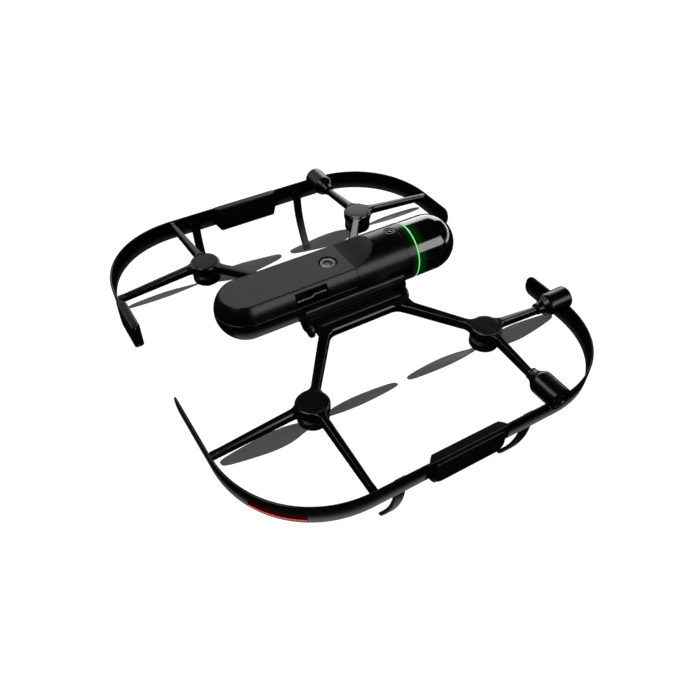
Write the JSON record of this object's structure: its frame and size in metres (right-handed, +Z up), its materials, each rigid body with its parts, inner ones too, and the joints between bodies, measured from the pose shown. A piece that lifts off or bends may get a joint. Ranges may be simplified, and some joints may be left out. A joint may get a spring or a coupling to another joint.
{
  "type": "folding indoor mapping drone",
  "caption": "Folding four-rotor indoor mapping drone: capsule body with a scanner dome, a lift-out battery, and two hinged wings with guarded rotors and leg struts.",
  "frame": {"origin": "on the ground under the middle of the plan, between the two wings", "axes": "+X towards the right wing, +Y towards the scanner dome at the nose, +Z up; the wings are open and the object stands on its four legs"},
  "size_m": [0.5988, 0.5282, 0.1906],
  "materials": {
    "satin_black": "satin black moulded plastic",
    "frame_black": "satin black frame plastic with fibre filling",
    "matte_dark_grey": "fine-textured matt dark grey",
    "smoked_glass": "smoked clear dome, polished",
    "green_light": "diffusing light ring, lit green",
    "red_light": "diffusing light strip, lit red",
    "dark_aluminium": "dark anodised",
    "steel": "ground",
    "board_green": "coated circuit board",
    "cell_grey": "heat-shrink wrap",
    "lens_glass": "dark coated lens",
    "ring_metal": "satin turned ring",
    "prop_plastic": "smoky translucent black",
    "mirror": "polished"
  },
  "bodies": {
    "body": {"body_shell": "satin_black", "chassis_tray": "dark_aluminium", "main_board": "board_green", "scanner_drive_motor": "dark_aluminium", "scanner_collar": "satin_black", "led_ring": "green_light", "dome": "smoked_glass", "top_camera_barrel": "satin_black", "top_camera_lens": "lens_glass", "bottom_camera": "satin_black", "hinge_saddle": "satin_black", "hinge_pin_left": "steel", "hinge_pin_right": "steel"},
    "scanner_head": {"scanner_head": "dark_aluminium"},
    "scanner_mirror": {"scanner_mirror": "mirror"},
    "battery": {"battery_cover": "matte_dark_grey", "battery_cells": "cell_grey", "power_button_ring": "ring_metal"},
    "power_button": {"power_button": "satin_black"},
    "battery_latch_right": {"battery_latch_right": "satin_black"},
    "battery_latch_left": {"battery_latch_left": "satin_black"},
    "wing_right": {"wing_frame_right": "frame_black", "guard_front_right": "frame_black", "guard_rear_right": "frame_black", "side_radar_right": "satin_black", "side_radar_cover_right": "satin_black", "hub_cap_front_right": "matte_dark_grey", "hub_cap_rear_right": "matte_dark_grey", "motor_stator_front_right": "dark_aluminium", "motor_stator_rear_right": "dark_aluminium", "leg_front_right": "satin_black", "leg_rear_right": "satin_black", "side_camera_pod_right": "satin_black", "side_camera_lens_right": "lens_glass", "tail_light_right": "red_light", "front_camera_pod": "satin_black", "front_camera_lens": "lens_glass"},
    "rotor_front_right": {"motor_bell_front_right": "dark_aluminium", "propeller_front_right": "prop_plastic"},
    "rotor_rear_right": {"motor_bell_rear_right": "dark_aluminium", "propeller_rear_right": "prop_plastic"},
    "wing_left": {"wing_frame_left": "frame_black", "guard_front_left": "frame_black", "guard_rear_left": "frame_black", "side_radar_left": "satin_black", "side_radar_cover_left": "satin_black", "hub_cap_front_left": "matte_dark_grey", "hub_cap_rear_left": "matte_dark_grey", "motor_stator_front_left": "dark_aluminium", "motor_stator_rear_left": "dark_aluminium", "leg_front_left": "satin_black", "leg_rear_left": "satin_black", "side_camera_pod_left": "satin_black", "side_camera_lens_left": "lens_glass", "tail_light_left": "red_light", "rear_radar": "satin_black"},
    "rotor_front_left": {"motor_bell_front_left": "dark_aluminium", "propeller_front_left": "prop_plastic"},
    "rotor_rear_left": {"motor_bell_rear_left": "dark_aluminium", "propeller_rear_left": "prop_plastic"}
  },
  "joints": [
    {"name": "wing_fold_right", "type": "hinge", "parent": "body", "child": "wing_right", "pos_m": [0.0465, -0.0009, 0.118], "axis": [0, 1, 0], "range_deg": [0, 70]},
    {"name": "wing_fold_left", "type": "hinge", "parent": "body", "child": "wing_left", "pos_m": [-0.0465, -0.0009, 0.118], "axis": [0, -1, 0], "range_deg": [0, 70]},
    {"name": "spin_front_right", "type": "hinge", "parent": "wing_right", "child": "rotor_front_right", "pos_m": [0.158, 0.1267, 0.086], "axis": [0, 0, 1], "continuous": true},
    {"name": "spin_rear_right", "type": "hinge", "parent": "wing_right", "child": "rotor_rear_right", "pos_m": [0.158, -0.1285, 0.086], "axis": [0, 0, 1], "continuous": true},
    {"name": "spin_front_left", "type": "hinge", "parent": "wing_left", "child": "rotor_front_left", "pos_m": [-0.158, 0.1267, 0.086], "axis": [0, 0, 1], "continuous": true},
    {"name": "spin_rear_left", "type": "hinge", "parent": "wing_left", "child": "rotor_rear_left", "pos_m": [-0.158, -0.1285, 0.086], "axis": [0, 0, 1], "continuous": true},
    {"name": "scanner_spin", "type": "hinge", "parent": "body", "child": "scanner_head", "pos_m": [0, 0.1091, 0.15], "axis": [0, 1, 0], "continuous": true},
    {"name": "mirror_spin", "type": "hinge", "parent": "scanner_head", "child": "scanner_mirror", "pos_m": [0, 0.1331, 0.15], "axis": [1, 0, 0], "continuous": true},
    {"name": "battery_lift", "type": "slide", "parent": "body", "child": "battery", "axis": [0, 0, 1], "range_m": [0, 0.06]},
    {"name": "power_button_press", "type": "slide", "parent": "battery", "child": "power_button", "axis": [0, 0, -1], "range_m": [0, 0.001], "stiffness_N_per_m": 300},
    {"name": "latch_press_right", "type": "slide", "parent": "battery", "child": "battery_latch_right", "axis": [-1, 0, 0], "range_m": [0, 0.0015], "stiffness_N_per_m": 400},
    {"name": "latch_press_left", "type": "slide", "parent": "battery", "child": "battery_latch_left", "axis": [1, 0, 0], "range_m": [0, 0.0015], "stiffness_N_per_m": 400}
  ]
}
